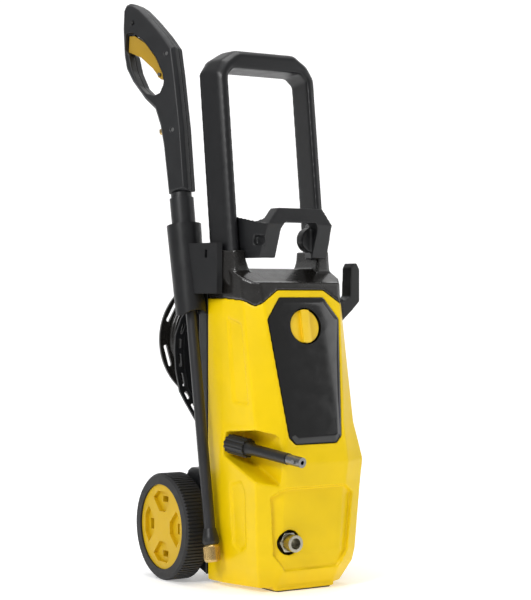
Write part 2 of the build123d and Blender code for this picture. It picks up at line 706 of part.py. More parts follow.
with BuildPart() as motor_fan:
    with BuildSketch(Plane.XY.offset(MOTOR_TOP_Z + 6)):
        with Locations((0, MOTOR_Y)):
            Circle(46)
            Circle(SHAFT_R, mode=Mode.SUBTRACT)
    extrude(amount=2)
    with BuildSketch(Plane.XY.offset(MOTOR_TOP_Z + 6)):
        with Locations((0, MOTOR_Y)):
            Circle(13)
            Circle(SHAFT_R, mode=Mode.SUBTRACT)
            with PolarLocations(29, 9):
                Rectangle(33, 2)
    extrude(amount=17)
save(motor_fan, "motor_fan")

CAPACITOR_R = 17.0
CAPACITOR_X = -52.0
capacitor_y = MOTOR_Y + ((MOTOR_R + CAPACITOR_R) ** 2 - CAPACITOR_X ** 2) ** 0.5
with BuildPart() as capacitor:
    with BuildSketch(Plane.XY.offset(195)):
        with Locations((CAPACITOR_X, capacitor_y)):
            Circle(CAPACITOR_R)
    extrude(amount=75)
save(capacitor, "capacitor")

# ---------------------------------------------------------------- cable gland
gland_plane = Plane(origin=(SEAM_HALF - 6, GLAND_Y, GLAND_Z), x_dir=(0, 1, 0), z_dir=(1, 0, 0))
with BuildPart() as cable_gland:
    with BuildSketch(gland_plane):
        Circle(GLAND_R)
    extrude(amount=16)
    with BuildSketch(gland_plane.offset(16)):
        Circle(GLAND_R)
    with BuildSketch(gland_plane.offset(30)):
        Circle(6)
    loft()
    with BuildSketch(gland_plane):
        Circle(3.8)
    extrude(amount=30, mode=Mode.SUBTRACT)
save(cable_gland, "cable_gland")

# ---------------------------------------------------------------- gun, lance and holder
tip = radians(LANCE_LEAN)
lance_up = Vector(0, sin(tip), cos(tip))
turn = radians(GUN_TURN)
grip_way = Vector(-sin(turn), cos(turn), 0)
grip_way = (grip_way - lance_up * grip_way.dot(lance_up)).normalized()
lance_plane = Plane(origin=LANCE_FOOT, x_dir=grip_way, z_dir=lance_up)
gun_plane = Plane(origin=LANCE_FOOT, x_dir=grip_way, z_dir=grip_way.cross(lance_up))


def lance_piece(name, steps, bore=0.0, trim=None):
    """A turned piece on the lance's axis from (low, high, radius low, radius high) steps."""
    with BuildPart() as piece:
        for low, high, radius_low, radius_high in steps:
            with BuildSketch(lance_plane.offset(low)):
                Circle(radius_low)
            with BuildSketch(lance_plane.offset(high)):
                Circle(radius_high)
            loft()
        if bore:
            with BuildSketch(lance_plane.offset(steps[0][0])):
                Circle(bore)
            extrude(amount=steps[-1][1] - steps[0][0], mode=Mode.SUBTRACT)
        if trim:
            add(trim, mode=Mode.SUBTRACT)
    save(piece, name)
    return piece


NOZZLE_TOP = 26.0
GUN_FOOT = 562.0           # along the lance from its foot to the gun's lower end
with BuildPart() as nozzle_grooves:
    with BuildSketch(lance_plane.offset(4)):
        with PolarLocations(12.5, 20):
            Rectangle(1.4, 1.6)
    extrude(amount=NOZZLE_TOP - 8)
lance_piece("lance_nozzle", [(0, 3, 10, 12.5), (3, NOZZLE_TOP - 3, 12.5, 12.5),
                             (NOZZLE_TOP - 3, NOZZLE_TOP - GAP, 12.5, 10.5)],
            bore=2.5, trim=nozzle_grooves.part)
lance_piece("lance_collar", [(NOZZLE_TOP, 30, 11, 13), (30, 36, 13, 12.5), (36, 50, 12.5, 9.5)], bore=TUBE_R)
lance_piece("lance_tube", [(NOZZLE_TOP, 640, TUBE_R, TUBE_R)], bore=4)
lance_piece("lance_grip", [(398, 430, 10.5, 17.5), (430, GUN_FOOT - 8, 17.5, 18.5),
                           (GUN_FOOT - 8, GUN_FOOT - GAP, 16, 16)], bore=TUBE_R)

SLEEVE_LOW = 372.0
SLEEVE_HIGH = 512.0
SLEEVE_LOW_R = 23.5
SLEEVE_HIGH_R = 26.5
SLEEVE_WALL = 2.0


def sleeve_cone(grow):
    """The holder's sleeve as a solid cone, wider or narrower by an amount."""
    with BuildPart() as cone:
        with BuildSketch(lance_plane.offset(SLEEVE_LOW)):
            Circle(SLEEVE_LOW_R + grow)
        with BuildSketch(lance_plane.offset(SLEEVE_HIGH)):
            Circle(SLEEVE_HIGH_R + grow)
        loft()
    return cone.part


# a bracket ties the sleeve to the left handle leg
with BuildPart() as holder_bracket:
    with BuildSketch(Plane.XY.offset(440)):
        Polygon((-126, 128), (-106, 52), (-96.5, 52), (-96.5, 70), (-92, 138), align=None)
    extrude(amount=76)
    with BuildSketch(Plane.YZ.offset(-130)):
        with Locations((74, 500)):
            Rectangle(5, 12)
    extrude(amount=60, mode=Mode.SUBTRACT)
    for taken in (sleeve_cone(RUNNING), push_handle.part, top_cover.part, rear_cover.part):
        add(taken, mode=Mode.SUBTRACT)

with BuildPart() as holder_sleeve:
    add(sleeve_cone(0))
    add(sleeve_cone(-SLEEVE_WALL), mode=Mode.SUBTRACT)
    # slanted lower lip
    with BuildSketch(Plane.YZ.offset(-145)):
        Polygon((85, 380), (180, 380), (180, 440), (150, 415), (110, 404), (85, 425), align=None)
    extrude(amount=70, mode=Mode.SUBTRACT)
    add(rear_cover.part, mode=Mode.SUBTRACT)

with BuildPart() as gun_holder:
    for moulding in (holder_sleeve, holder_bracket):
        add(moulding.part.solids().sort_by(SortBy.VOLUME)[-1])
save(gun_holder, "gun_holder")

gun_back = [(-20, GUN_FOOT), (-22, 660), (-20, 747), (-18, 788), (-4, 811), (14, 836), (25, 850),
            (37, 864), (48, 873)]
gun_butt = [(58, 877), (66, 876), (72, 868), (76, 840), (77, 822), (78, 797), (76, 775), (66, 752),
            (45, 719)]
gun_front = [(28, 700), (21, 672), (18, 640), (16, GUN_FOOT)]
opening = [(68, 829), (56, 828), (37, 811), (17, 781), (7, 754), (5, 742), (6, 734), (14, 722), (24, 720),
           (39, 726), (52, 741), (62, 768), (66, 795), (72, 803)]
trigger_outline = [(67, 826), (57, 824), (38, 808), (21, 781), (11, 754), (10, 743), (15, 745), (28, 765),
                   (48, 787), (71, 801)]
GUN_HALF = GUN_THICKNESS / 2
gun_outline = gun_back + gun_butt + gun_front

trigger_pin_at = (15, 752)
TRIGGER_HALF = 8.0
sweep_room = [(73, 801), (70.5, 829), (57, 837), (44, 833), (27, 813), (12, 782), (4, 757), (3, 742),
              (12, 739), (23, 743), (31, 764), (50, 785)]
gun_cavity = [(-16, 572), (-18, 660), (-16, 747), (-14, 786), (0, 808), (18, 833), (39, 858), (58, 871),
              (66, 862), (69, 838), (44, 836), (22, 806), (2, 764), (1, 738), (14, 712), (14, 672), (12, 572)]

inlet_plane = Plane(origin=gun_plane.from_local_coords((46, 856, 0)), x_dir=gun_plane.z_dir,
                    z_dir=gun_plane.x_dir)
GUN_INLET_R = 8.0
GUN_INLET_LENGTH = 29.0
PLUG_R = 5.4               # plug of the hose's gun end
PLUG_LENGTH = 14.0
with BuildPart() as gun_inlet:
    with BuildSketch(inlet_plane):
        Circle(GUN_INLET_R)
    extrude(amount=GUN_INLET_LENGTH)
    with BuildSketch(inlet_plane):
        Circle(2.5)
    extrude(amount=GUN_INLET_LENGTH, mode=Mode.SUBTRACT)
    with BuildSketch(inlet_plane.offset(GUN_INLET_LENGTH - PLUG_LENGTH)):
        Circle(PLUG_R + RUNNING)
    extrude(amount=PLUG_LENGTH, mode=Mode.SUBTRACT)
save(gun_inlet, "gun_inlet")

BUTTON_WIDTH = 11.0
BUTTON_HEIGHT = 9.0
button_plane = Plane(origin=gun_plane.from_local_coords((9, 664, 0)), x_dir=gun_plane.z_dir,
                     z_dir=gun_plane.x_dir)
with BuildPart() as coupling_button:
    with BuildSketch(button_plane):
        RectangleRounded(BUTTON_WIDTH + 4, BUTTON_HEIGHT + 3, 2)
    extrude(amount=2)
    with BuildSketch(button_plane):
        RectangleRounded(BUTTON_WIDTH, BUTTON_HEIGHT, 3)
    extrude(amount=18)
save(coupling_button, "coupling_button")

TRIGGER_LOCK_AT = (55, 843.5)
TRIGGER_LOCK_R = 3.0
with BuildPart() as trigger_lock:
    with BuildSketch(gun_plane.offset(-GUN_HALF - 2)):
        with Locations(TRIGGER_LOCK_AT):
            Circle(TRIGGER_LOCK_R)
    extrude(amount=GUN_THICKNESS + 4)
save(trigger_lock, "trigger_lock")

GUN_SCREWS_AT = [(-4, 781), (-3, 660)]
with BuildPart() as gun_screws:
    with BuildSketch(gun_plane.offset(-GUN_HALF + 2)):
        with Locations(*GUN_SCREWS_AT):
            Circle(3.2)
    extrude(amount=2.5)
    with BuildSketch(gun_plane.offset(-GUN_HALF + 4.5)):
        with Locations(*GUN_SCREWS_AT):
            Circle(1.6)
    extrude(amount=GUN_THICKNESS - 9)
save(gun_screws, "gun_screws")

with BuildPart() as gun_solid:
    with BuildSketch(gun_plane.offset(-GUN_HALF)):
        Polygon(*gun_outline, align=None)
    extrude(amount=GUN_THICKNESS)
    faces = gun_solid.faces().sort_by(Axis(LANCE_FOOT, gun_plane.z_dir))
    outer_edges = faces[0].outer_wire().edges() + faces[-1].outer_wire().edges()
    chamfer(outer_edges, 5)
    with BuildSketch(gun_plane.offset(-GUN_THICKNESS)):
        Polygon(*opening, align=None)
    extrude(amount=2 * GUN_THICKNESS, mode=Mode.SUBTRACT)
    with BuildSketch(gun_plane.offset(-GUN_HALF + WALL)):
        Polygon(*gun_cavity, align=None)
    extrude(amount=GUN_THICKNESS - 2 * WALL, mode=Mode.SUBTRACT)
    with BuildSketch(gun_plane.offset(-TRIGGER_HALF - GAP)):
        Polygon(*sweep_room, align=None)
    extrude(amount=2 * (TRIGGER_HALF + GAP), mode=Mode.SUBTRACT)
    # screw bosses
    with BuildSketch(gun_plane.offset(-GUN_HALF + 1)):
        with Locations(*GUN_SCREWS_AT):
            Circle(5)
    extrude(amount=GUN_THICKNESS - 2)
    with BuildSketch(gun_plane.offset(-GUN_THICKNESS)):
        with Locations(*GUN_SCREWS_AT):
            Circle(3.2)
    extrude(amount=GUN_HALF + 4.5, mode=Mode.SUBTRACT)
    add(gun_screws.part, mode=Mode.SUBTRACT)
    with BuildSketch(lance_plane.offset(GUN_FOOT - 1)):
        Circle(TUBE_R)
    extrude(amount=20, mode=Mode.SUBTRACT)
    with BuildSketch(gun_plane.offset(-GUN_THICKNESS)):
        with Locations(TRIGGER_LOCK_AT):
            Circle(TRIGGER_LOCK_R + RUNNING)
    extrude(amount=2 * GUN_THICKNESS, mode=Mode.SUBTRACT)
    with BuildSketch(inlet_plane):
        Circle(GUN_INLET_R)
    extrude(amount=GUN_INLET_LENGTH + 6, mode=Mode.SUBTRACT)
    with BuildSketch(button_plane):
        RectangleRounded(BUTTON_WIDTH + 2 * GAP, BUTTON_HEIGHT + 2 * GAP, 3)
    extrude(amount=20, mode=Mode.SUBTRACT)

for keep, half_name in ((Keep.TOP, "right"), (Keep.BOTTOM, "left")):
    with BuildPart() as gun_shell:
        add(gun_solid.part)
        split(bisect_by=gun_plane, keep=keep)
    save(gun_shell, f"gun_shell_{half_name}")

with BuildPart() as trigger:
    with BuildSketch(gun_plane.offset(-TRIGGER_HALF)):
        Polygon(*trigger_outline, align=None)
        with Locations(trigger_pin_at):
            Circle(5)
            Circle(2.5 + RUNNING, mode=Mode.SUBTRACT)
    extrude(amount=2 * TRIGGER_HALF)
save(trigger, "trigger")

with BuildPart() as trigger_pin:
    with BuildSketch(gun_plane.offset(-GUN_HALF + WALL)):
        with Locations(trigger_pin_at):
            Circle(2.5)
    extrude(amount=GUN_THICKNESS - 2 * WALL)
save(trigger_pin, "trigger_pin")

with BuildPart() as gun_valve:
    with BuildSketch(gun_plane.offset(-9)):
        with Locations((-5, 700)):
            Rectangle(16, 60)
    extrude(amount=18)
save(gun_valve, "gun_valve")

with BuildPart() as trigger_spring:
    with BuildSketch(gun_plane.offset(TRIGGER_HALF + 0.6)):
        with Locations(trigger_pin_at):
            Circle(4.4)
            Circle(2.5, mode=Mode.SUBTRACT)
    extrude(amount=3)
save(trigger_spring, "trigger_spring")

# ---------------------------------------------------------------- spare nozzle
SPARE_HEAD = Vector(-86, 45, 216)
SPARE_TIP = Vector(-62, -112, 198)
spare_way = (SPARE_TIP - SPARE_HEAD).normalized()
spare_plane = Plane(origin=SPARE_HEAD, z_dir=spare_way)
SPARE_LENGTH = (SPARE_TIP - SPARE_HEAD).length
HEAD_R = 14.5
HEAD_LENGTH = 42.0
BAYONET_LENGTH = 30.0
BAYONET_START = SPARE_LENGTH - BAYONET_LENGTH
with BuildPart() as spare_nozzle_head:
    with BuildSketch(spare_plane):
        Circle(HEAD_R)
        with PolarLocations(HEAD_R + 1.2, 12):
            Circle(2.6, mode=Mode.SUBTRACT)
    extrude(amount=HEAD_LENGTH)
    with BuildSketch(spare_plane.offset(HEAD_LENGTH)):
        Circle(11)
    with BuildSketch(spare_plane.offset(HEAD_LENGTH + 14)):
        Circle(8.5)
    loft()
    with BuildSketch(spare_plane.offset(HEAD_LENGTH + 14)):
        Circle(8.5)
    extrude(amount=BAYONET_START - HEAD_LENGTH - 14)
    with BuildSketch(spare_plane):
        Circle(6)
    extrude(amount=14, mode=Mode.SUBTRACT)
save(spare_nozzle_head, "spare_nozzle_head")

with BuildPart() as spare_nozzle_bayonet:
    with BuildSketch(spare_plane.offset(BAYONET_START)):
        Circle(7.5)
    extrude(amount=BAYONET_LENGTH)
    with BuildSketch(spare_plane.offset(SPARE_LENGTH - 14)):
        Rectangle(20, 6)
    extrude(amount=6)
    with BuildSketch(spare_plane.offset(BAYONET_START)):
        Circle(3)
    extrude(amount=BAYONET_LENGTH, mode=Mode.SUBTRACT)
save(spare_nozzle_bayonet, "spare_nozzle_bayonet")

# ---------------------------------------------------------------- hose reel
shield = mirrored([(42, 204), (59, 237), (79, 268), (90, 287), (97, 320), (99, 351), (98, 375), (88, 401),
                   (66, 430), (34, 447)])
shield_slots = inset_points(shield, 8)
with BuildPart() as reel_frame:
    # a shield whose middle stands forward against the rear cover, and the spindle
    with BuildSketch(Plane.XZ.offset(-REAR_Y)):
        Polygon(*inset_points(shield, 15), align=None)
    extrude(amount=-6)
    with BuildSketch(Plane.XZ.offset(-REAR_Y - 2)):
        Polygon(*shield, align=None)
        for (x1, z1), (x2, z2) in zip(shield_slots, shield_slots[1:]):
            reach = hypot(x2 - x1, z2 - z1)
            if 18 < reach < 60:
                with Locations(Location(((x1 + x2) / 2, (z1 + z2) / 2, 0),
                                        (0, 0, degrees(atan2(z2 - z1, x2 - x1))))):
                    SlotOverall(reach * 0.7, 5, mode=Mode.SUBTRACT)
    extrude(amount=-4)
    with BuildSketch(Plane.XZ.offset(-REAR_Y)):
        with Locations((0, REEL_Z)):
            Circle(SPINDLE_R)
    extrude(amount=-(REEL_HIGH_Y - REAR_Y))
    with BuildSketch(Plane.XZ.offset(-REAR_Y)):
        with Locations(*CASE_SCREWS_AT):
            Circle(4.3)
    extrude(amount=-20, mode=Mode.SUBTRACT)
    with BuildSketch(Plane.XZ.offset(-REEL_HIGH_Y)):
        with Locations((0, REEL_Z)):
            Circle(REEL_SCREW_R)
    extrude(amount=REEL_SCREW_LENGTH, mode=Mode.SUBTRACT)
save(reel_frame, "reel_frame")

FLANGE_THICKNESS = 4.0
DISC_THICKNESS = 2.0
CRANK_AT = (0, REEL_Z - 78)
CRANK_PIN_R = 5.0
CRANK_PIN_LENGTH = 30.0
with BuildPart() as reel_drum:
    # hub, barrel, front disc and rear flange
    with BuildSketch(Plane.XZ.offset(-REEL_LOW_Y)):
        with Locations((0, REEL_Z)):
            Circle(REEL_BARREL_R)
            Circle(REEL_BARREL_R - WALL, mode=Mode.SUBTRACT)
            Circle(SPINDLE_R + 5)
    extrude(amount=-(REEL_HIGH_Y - REEL_LOW_Y))
    with BuildSketch(Plane.XZ.offset(-REEL_LOW_Y)):
        with Locations((0, REEL_Z)):
            Circle(COIL_R - 2)
    extrude(amount=-DISC_THICKNESS)
    with BuildSketch(Plane.XZ.offset(-REEL_HIGH_Y + FLANGE_THICKNESS)):
        with Locations((0, REEL_Z)):
            Circle(REEL_FLANGE_R)
            with PolarLocations(REEL_FLANGE_R - 10, 8, start_angle=16):
                RectangleRounded(6, 35, 2.5, mode=Mode.SUBTRACT)
    extrude(amount=-FLANGE_THICKNESS)
    # the crank's pin behind the rear flange
    with BuildSketch(Plane.XZ.offset(-REEL_HIGH_Y)):
        with Locations(CRANK_AT):
            Circle(CRANK_PIN_R)
    extrude(amount=-CRANK_PIN_LENGTH)
    with BuildSketch(Plane.XZ.offset(-REEL_LOW_Y + 1)):
        with Locations((0, REEL_Z)):
            Circle(SPINDLE_R + RUNNING)
    extrude(amount=-(REEL_HIGH_Y - REEL_LOW_Y + 2), mode=Mode.SUBTRACT)
save(reel_drum, "reel_drum")

with BuildPart() as reel_crank_knob:
    with BuildSketch(Plane.XZ.offset(-REEL_HIGH_Y - GAP)):
        with Locations(CRANK_AT):
            Circle(8)
    with BuildSketch(Plane.XZ.offset(-REEL_HIGH_Y - CRANK_PIN_LENGTH)):
        with Locations(CRANK_AT):
            Circle(11)
    loft()
    with BuildSketch(Plane.XZ.offset(-REEL_HIGH_Y)):
        with Locations(CRANK_AT):
            Circle(CRANK_PIN_R + RUNNING)
    extrude(amount=-CRANK_PIN_LENGTH - 1, mode=Mode.SUBTRACT)
save(reel_crank_knob, "reel_crank_knob")

COIL_LOW_Y = REEL_LOW_Y + DISC_THICKNESS + GAP
COIL_HIGH_Y = REEL_HIGH_Y - FLANGE_THICKNESS - GAP
coil_mid_y = (COIL_LOW_Y + COIL_HIGH_Y) / 2
coil_depth = COIL_R - REEL_BARREL_R - 0.2
with BuildPart() as hose_coil:
    with BuildSketch(Plane.YZ):
        with Locations((coil_mid_y, REEL_Z + COIL_R - coil_depth / 2)):
            RectangleRounded(COIL_HIGH_Y - COIL_LOW_Y, coil_depth, 6)
    revolve(axis=Axis((0, coil_mid_y, REEL_Z), (0, 1, 0)))
save(hose_coil, "hose_coil")

# The hose's gun end hangs down from the outermost turn; it ends in a plug.
HOSE_END_X = 86.0
HOSE_END_Z = 276.0
with BuildPart() as hose_fitting_gun:
    for low, high, radius in ((0, PLUG_LENGTH, PLUG_R), (PLUG_LENGTH, 34, 11), (34, 55, 8)):
        with BuildSketch(Plane.XY.offset(HOSE_END_Z + low)):
            with Locations((HOSE_END_X, coil_mid_y)):
                Circle(radius)
        extrude(amount=high - low)
save(hose_fitting_gun, "hose_fitting_gun")

# ---------------------------------------------------------------- foot pad
with BuildPart() as foot_pad:
    with BuildSketch(Plane.XY):
        with Locations((0, 5)):
            RectangleRounded(98, 58, 6)
    extrude(amount=FOOT_PAD)
save(foot_pad, "foot_pad")
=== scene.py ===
"""Looks of an upright electric pressure washer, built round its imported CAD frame. Metres, +Z up."""
import json
import math

import bpy
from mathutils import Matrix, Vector


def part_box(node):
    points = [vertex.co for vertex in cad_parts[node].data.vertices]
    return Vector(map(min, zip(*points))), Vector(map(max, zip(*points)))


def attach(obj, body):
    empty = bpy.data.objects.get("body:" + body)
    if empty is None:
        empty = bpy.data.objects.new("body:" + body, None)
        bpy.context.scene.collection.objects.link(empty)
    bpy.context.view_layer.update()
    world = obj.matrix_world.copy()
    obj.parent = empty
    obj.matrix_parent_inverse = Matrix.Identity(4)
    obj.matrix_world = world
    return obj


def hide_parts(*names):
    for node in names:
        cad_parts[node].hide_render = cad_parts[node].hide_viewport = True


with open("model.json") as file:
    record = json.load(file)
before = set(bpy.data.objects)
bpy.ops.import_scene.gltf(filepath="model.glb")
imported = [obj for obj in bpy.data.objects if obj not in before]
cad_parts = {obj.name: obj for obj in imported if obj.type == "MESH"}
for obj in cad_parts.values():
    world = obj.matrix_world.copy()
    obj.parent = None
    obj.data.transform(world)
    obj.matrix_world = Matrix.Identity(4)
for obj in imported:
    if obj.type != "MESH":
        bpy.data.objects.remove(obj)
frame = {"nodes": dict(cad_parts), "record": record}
NODES = frame["nodes"]
SCENE = bpy.context.scene
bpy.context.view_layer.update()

# ------------------------------------------------------------------ camera
camera_data = bpy.data.cameras.new("camera")
camera = bpy.data.objects.new("camera", camera_data)
SCENE.collection.objects.link(camera)
SCENE.camera = camera
camera.location = (-1.4255, -2.1521, 0.4303)
camera.rotation_euler = (math.radians(90), 0, math.radians(-33.52))
camera_data.lens = 103.3
camera_data.sensor_width = 36
camera_data.shift_x = -0.0497


# ------------------------------------------------------------------ materials
def new_material(name, colour, rough, metal=0.0, coat=0.0, specular=0.5):
    """A material with its node tree and Principled shader."""
    made = bpy.data.materials.new(name)
    made.use_nodes = True
    tree = made.node_tree
    shader = tree.nodes["Principled BSDF"]
    shader.inputs["Base Color"].default_value = (*colour, 1)
    shader.inputs["Roughness"].default_value = rough
    shader.inputs["Metallic"].default_value = metal
    shader.inputs["Coat Weight"].default_value = coat
    shader.inputs["Coat Roughness"].default_value = 0.08
    shader.inputs["Specular IOR Level"].default_value = specular
    return made, tree, shader


def noise(tree, vector, scale, detail=4.0, rough=0.5):
    """Cloudy noise between 0 and 1."""
    node = tree.nodes.new("ShaderNodeTexNoise")
    node.inputs["Scale"].default_value = scale
    node.inputs["Detail"].default_value = detail
    node.inputs["Roughness"].default_value = rough
    tree.links.new(vector, node.inputs["Vector"])
    return node.outputs["Fac"]


def span(tree, value, low, high, start=0.3, end=0.7):
    """Map a value between two results."""
    node = tree.nodes.new("ShaderNodeMapRange")
    node.inputs["From Min"].default_value = start
    node.inputs["From Max"].default_value = end
    node.inputs["To Min"].default_value = low
    node.inputs["To Max"].default_value = high
    tree.links.new(value, node.inputs["Value"])
    return node.outputs["Result"]


def mix(tree, factor, colour_a, colour_b):
    """Mix two colours, or a linked colour and a fixed one, by a factor."""
    node = tree.nodes.new("ShaderNodeMix")
    node.data_type = "RGBA"
    tree.links.new(factor, node.inputs["Factor"])
    for socket, colour in ((node.inputs[6], colour_a), (node.inputs[7], colour_b)):
        if isinstance(colour, bpy.types.NodeSocket):
            tree.links.new(colour, socket)
        else:
            socket.default_value = (*colour, 1)
    return node.outputs[2]


def shade(colour, amount):
    """A colour made darker or lighter."""
    return tuple(max(0.0, min(1.0, c * amount)) for c in colour)


def bump(tree, shader, height, strength, distance):
    """Fine relief on a shader."""
    node = tree.nodes.new("ShaderNodeBump")
    node.inputs["Strength"].default_value = strength
    node.inputs["Distance"].default_value = distance
    tree.links.new(height, node.inputs["Height"])
    tree.links.new(node.outputs["Normal"], shader.inputs["Normal"])


def plastic(name, colour, rough, grain=0.25, grain_size=0.0007, scuff=0.12, coat=0.0, specular=0.5):
    """Moulded plastic: fine spark-eroded grain, cloudy sheen and rubbed edges."""
    made, tree, shader = new_material(name, colour, rough, 0.0, coat, specular)
    place = tree.nodes.new("ShaderNodeTexCoord").outputs["Object"]
    cloud = noise(tree, place, 14, 3)
    fine = noise(tree, place, 1 / grain_size, 2)
    tint = mix(tree, span(tree, cloud, 0, 1), shade(colour, 0.94), shade(colour, 1.05))
    edge = tree.nodes.new("ShaderNodeNewGeometry").outputs["Pointiness"]
    rub = span(tree, edge, 0, scuff, 0.53, 0.62)
    lighter = tuple(c + (0.75 - c) * 0.35 for c in colour)
    tint = mix(tree, rub, tint, lighter)
    tree.links.new(tint, shader.inputs["Base Color"])
    smear = noise(tree, place, 55, 5, 0.6)
    tree.links.new(span(tree, smear, max(0.03, rough - 0.05), rough + 0.07), shader.inputs["Roughness"])
    bump(tree, shader, fine, grain, 0.00012)
    return made


def metal(name, colour, rough, stretch=(1, 1, 1), scale=600, tarnish=0.1):
    """Turned or drawn metal: fine tool lines and a patchy tarnish."""
    made, tree, shader = new_material(name, colour, rough, 1.0)
    place = tree.nodes.new("ShaderNodeTexCoord").outputs["Object"]
    move = tree.nodes.new("ShaderNodeMapping")
    move.inputs["Scale"].default_value = stretch
    tree.links.new(place, move.inputs["Vector"])
    lines = noise(tree, move.outputs["Vector"], scale, 3)
    patch = noise(tree, place, 60, 4)
    tint = mix(tree, span(tree, patch, 0, 1), colour, shade(colour, 1 - 2.5 * tarnish))
    tree.links.new(tint, shader.inputs["Base Color"])
    tree.links.new(span(tree, lines, rough * 0.75, rough * 1.3), shader.inputs["Roughness"])
    bump(tree, shader, lines, 0.2, 0.00008)
    return made


MATERIALS = {
    "yellow_casing": plastic("yellow_casing", (0.84, 0.575, 0.001), 0.34, 0.10, 0.0005, 0.03, specular=0.22),
    "yellow_wheel": plastic("yellow_wheel", (0.62, 0.39, 0.003), 0.44, 0.2, 0.0006, 0.10, specular=0.25),
    "yellow_control": plastic("yellow_control", (0.84, 0.55, 0.006), 0.36, 0.08, 0.0004, 0.1),
    "trigger_yellow": plastic("trigger_yellow", (0.40, 0.235, 0.008), 0.42, 0.2, 0.0006, 0.12),
    "panel_gloss": plastic("panel_gloss", (0.006, 0.006, 0.006), 0.13, 0.02, 0.0004, 0.02, coat=0.3),
    "dark_frame": plastic("dark_frame", (0.0085, 0.0088, 0.0098), 0.36, 0.35, 0.0008, 0.05, specular=0.42),
    "grip_plastic": plastic("grip_plastic", (0.012, 0.0125, 0.0138), 0.40, 0.4, 0.0008, 0.06, specular=0.42),
    "black_plastic": plastic("black_plastic", (0.008, 0.008, 0.008), 0.40, 0.3, 0.0007, 0.08),
    "tyre_rubber": plastic("tyre_rubber", (0.009, 0.009, 0.010), 0.60, 0.6, 0.0012, 0.08),
    "soft_rubber": plastic("soft_rubber", (0.018, 0.018, 0.018), 0.68, 0.5, 0.001, 0.06),
    "reel_gloss": plastic("reel_gloss", (0.012, 0.011, 0.010), 0.22, 0.05, 0.0006, 0.04, coat=0.3),
    "hose_gloss": plastic("hose_gloss", (0.010, 0.009, 0.008), 0.26, 0.06, 0.0009, 0.0),
    "brass": metal("brass", (0.66, 0.47, 0.20), 0.28, (1, 1, 8)),
    "nickel": metal("nickel", (0.46, 0.44, 0.36), 0.30, (1, 6, 1)),
    "steel": metal("steel", (0.26, 0.26, 0.26), 0.34, (8, 1, 1)),
    "aluminium_cast": metal("aluminium_cast", (0.60, 0.60, 0.62), 0.48, (1, 1, 1), 900, 0.05),
    "lance_steel": plastic("lance_steel", (0.016, 0.016, 0.018), 0.32, 0.15, 0.0006, 0.05),
    "copper_winding": metal("copper_winding", (0.62, 0.26, 0.10), 0.35, (1, 1, 20), 300),
}


def paint(obj, slot_name):
    """Give an object one material."""
    obj.data.materials.clear()
    obj.data.materials.append(MATERIALS[slot_name])


SLOT_OF = {row["node"]: row["material_slot"] for row in frame["record"]["subparts"]}
for node_name, node in NODES.items():
    paint(node, SLOT_OF[node_name])


# ------------------------------------------------------------------ rounded edges on the CAD pieces
def rounded(obj, width, segments=2, angle=25):
    """Round the edges of a piece with modifiers; its own mesh keeps its shape."""
    weld = obj.modifiers.new("weld", "WELD")
    weld.merge_threshold = 0.00002
    bevel = obj.modifiers.new("bevel", "BEVEL")
    bevel.width = width
    bevel.segments = segments
    bevel.limit_method = "ANGLE"
    bevel.angle_limit = math.radians(angle)
    flat = obj.modifiers.new("flat", "WEIGHTED_NORMAL")
    flat.mode = "FACE_AREA"
    flat.weight = 80
    flat.keep_sharp = True
    for polygon in obj.data.polygons:
        polygon.use_smooth = True


# voxel size in mm and number of smoothing steps
SOFTENED = {"front_cover": (1.3, 20), "push_handle": (2.0, 26), "top_cover": (1.5, 10),
            "carry_handle": (1.5, 8), "rear_cover": (2.0, 6), "cable_hook": (1.0, 20),
            "chassis": (2.0, 4), "gun_shell_left": (0.8, 14), "gun_shell_right": (0.8, 14)}
OTHER_EDGE_MM = 0.4
EDGE_MM = {"control_panel": 0.8, "gun_holder": 1.0, "tyre_left": 0.5, "tyre_right": 0.5, "switch_knob": 0.8}
for node_name, node in NODES.items():
    if node_name not in SOFTENED and node_name != "hose_coil":
        rounded(node, EDGE_MM.get(node_name, OTHER_EDGE_MM) / 1000)

# ------------------------------------------------------------------ softly moulded pieces
BODY_OF = {name: body for body, names in frame["record"]["behaviour"]["bodies"].items() for name in names}
SOFT_SLOT_OF = {**SLOT_OF, "top_cover": "reel_gloss"}   # the crown is glossier than the frame


def softened(node_name, voxel, repeats):
    """A copy of a moulded CAD piece whose creases and corners run softly into each other."""
    source = NODES[node_name]
    obj = bpy.data.objects.new(f"{node_name}_soft", source.data.copy())
    SCENE.collection.objects.link(obj)
    obj.matrix_world = source.matrix_world
    weld = obj.modifiers.new("weld", "WELD")
    weld.merge_threshold = 0.00002
    remesh = obj.modifiers.new("remesh", "REMESH")
    remesh.mode = "VOXEL"
    remesh.voxel_size = voxel
    remesh.use_smooth_shade = True
    smooth = obj.modifiers.new("smooth", "SMOOTH")
    smooth.factor = 0.5
    smooth.iterations = repeats
    paint(obj, SOFT_SLOT_OF[node_name])
    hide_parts(node_name)
    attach(obj, BODY_OF[node_name])


for node_name, (voxel_mm, repeats) in SOFTENED.items():
    softened(node_name, voxel_mm / 1000, repeats)

# ------------------------------------------------------------------ the hose on its reel
HOSE_D = 0.009
HOSE_PITCH = 0.00925        # from turn to turn, and from layer to layer
REEL_AXIS = (0.0, 0.3675)   # X and Z
WINDING_LOW_Y = 0.20138     # first turn's centreline
FIRST_LAYER_R = 0.0548
TURN_POINTS = 24
CLIMB = 4                   # points in which the hose climbs to the next layer
LEAD = 4                    # points in which it comes out of the barrel
LEAD_DEPTH = 0.0048         # how far inside the first layer it starts
LAYERS = [(3.0, 1), (3.0, -1), (3.0, 1), (1.5, -1)]   # turns, and the way along Y


